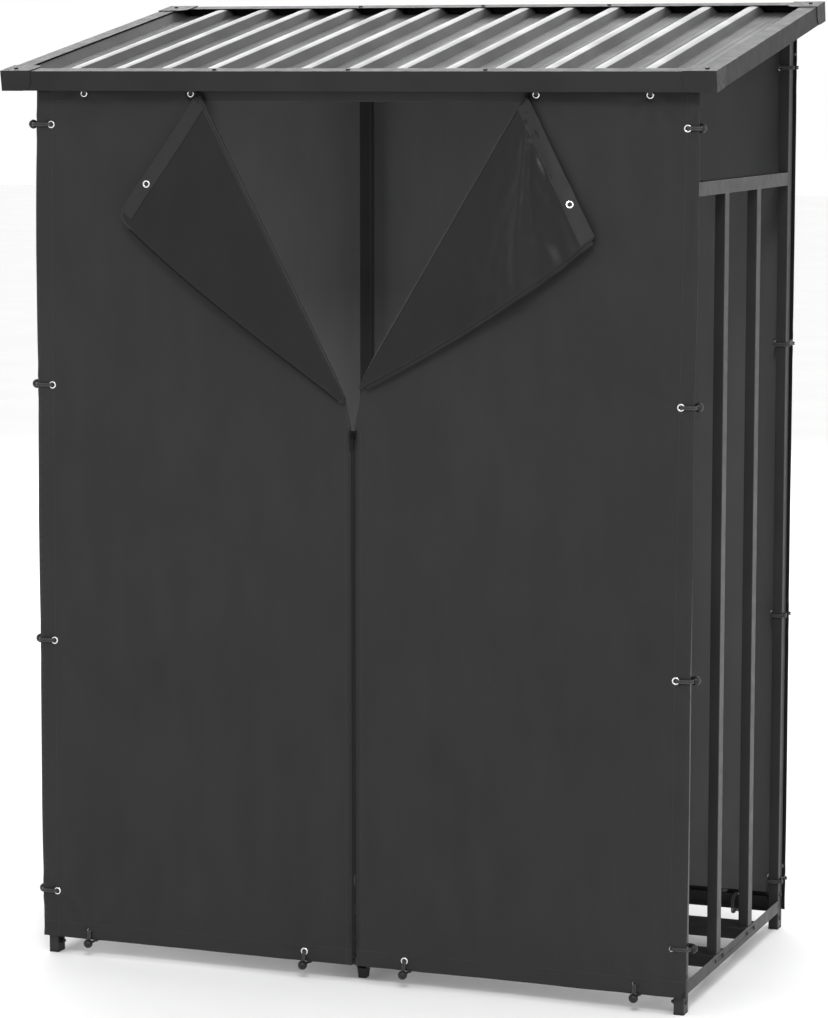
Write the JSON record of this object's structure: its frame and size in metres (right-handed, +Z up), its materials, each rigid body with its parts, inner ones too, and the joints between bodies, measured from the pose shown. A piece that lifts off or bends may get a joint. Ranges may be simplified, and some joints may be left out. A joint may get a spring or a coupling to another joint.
{
  "type": "firewood log rack",
  "caption": "Outdoor firewood rack: square-tube frame, corrugated lean-to roof and fabric covers on elastic loops, with the front zip partly open and both corners folded outward.",
  "frame": {"origin": "on the floor, in the middle of the overall box", "axes": "+X to the rack's right seen from the front, +Y to the back, +Z up"},
  "size_m": [1.433, 0.7938, 1.888],
  "materials": {
    "frame_paint": "satin powder coat, anthracite",
    "roof_sheet_paint": "satin coated sheet, grey",
    "roof_edge_paint": "satin coated sheet, anthracite",
    "roof_screw_paint": "satin",
    "cap_plastic": "fine matt moulding",
    "foot_plastic": "matt moulding",
    "cover_cloth": "coated woven polyester, charcoal",
    "eyelet_metal": "polished nickel plate",
    "elastic_cord": "braided elastic cord",
    "elastic_ball": "smooth moulding",
    "zip_teeth": "moulded teeth",
    "zip_metal": "black enamel",
    "bolt_steel": "zinc plated"
  },
  "bodies": {
    "rack": {"back_bottom_rail": "frame_paint", "back_centre_foot": "foot_plastic", "back_cover": "cover_cloth", "back_elastic_balls": "elastic_ball", "back_elastic_cords": "elastic_cord", "back_eyelets": "eyelet_metal", "back_floor_beam": "frame_paint", "back_left_foot": "foot_plastic", "back_left_post": "frame_paint", "back_left_roof_cap": "cap_plastic", "back_left_upright": "frame_paint", "back_right_foot": "foot_plastic", "back_right_post": "frame_paint", "back_right_roof_cap": "cap_plastic", "back_right_upright": "frame_paint", "back_roof_edge": "roof_edge_paint", "back_top_rail": "frame_paint", "centre_joist": "frame_paint", "frame_bolts": "bolt_steel", "frame_nuts": "bolt_steel", "front_bottom_rail": "frame_paint", "front_centre_foot": "foot_plastic", "front_cover_left": "cover_cloth", "front_cover_right": "cover_cloth", "front_elastic_balls": "elastic_ball", "front_elastic_cords": "elastic_cord", "front_eyelets": "eyelet_metal", "front_floor_beam": "frame_paint", "front_left_foot": "foot_plastic", "front_left_post": "frame_paint", "front_left_roof_cap": "cap_plastic", "front_right_foot": "foot_plastic", "front_right_post": "frame_paint", "front_right_roof_cap": "cap_plastic", "front_roof_edge": "roof_edge_paint", "front_top_rail": "frame_paint", "left_back_bar": "frame_paint", "left_bottom_rail": "frame_paint", "left_front_bar": "frame_paint", "left_mid_rail": "frame_paint", "left_rafter": "frame_paint", "left_roof_edge": "roof_edge_paint", "right_back_bar": "frame_paint", "right_bottom_rail": "frame_paint", "right_front_bar": "frame_paint", "right_mid_rail": "frame_paint", "right_rafter": "frame_paint", "right_roof_edge": "roof_edge_paint", "roof_screws": "roof_screw_paint", "roof_sheet": "roof_sheet_paint", "zip_chain": "zip_teeth"},
    "left_flap": {"left_flap": "cover_cloth", "left_flap_eyelet": "eyelet_metal"},
    "right_flap": {"right_flap": "cover_cloth", "right_flap_eyelet": "eyelet_metal"},
    "zip_slider": {"zip_slider": "zip_metal"},
    "zip_pull": {"zip_pull": "zip_metal"}
  },
  "joints": [
    {"name": "left_flap_fold", "type": "hinge", "parent": "rack", "child": "left_flap", "pos_m": [0, -0.36012, 1.108], "axis": [-0.4648, 0, 0.8854], "range_deg": [0, 180]},
    {"name": "right_flap_fold", "type": "hinge", "parent": "rack", "child": "right_flap", "pos_m": [0, -0.36012, 1.135], "axis": [-0.518, 0, -0.8554], "range_deg": [0, 180]},
    {"name": "zip_slide", "type": "slide", "parent": "rack", "child": "zip_slider", "axis": [0, 0, 1], "range_m": [-0.99, 0]},
    {"name": "zip_pull_swing", "type": "hinge", "parent": "zip_slider", "child": "zip_pull", "pos_m": [0, -0.36412, 1.067], "axis": [-1, 0, 0], "range_deg": [0, 170]}
  ]
}
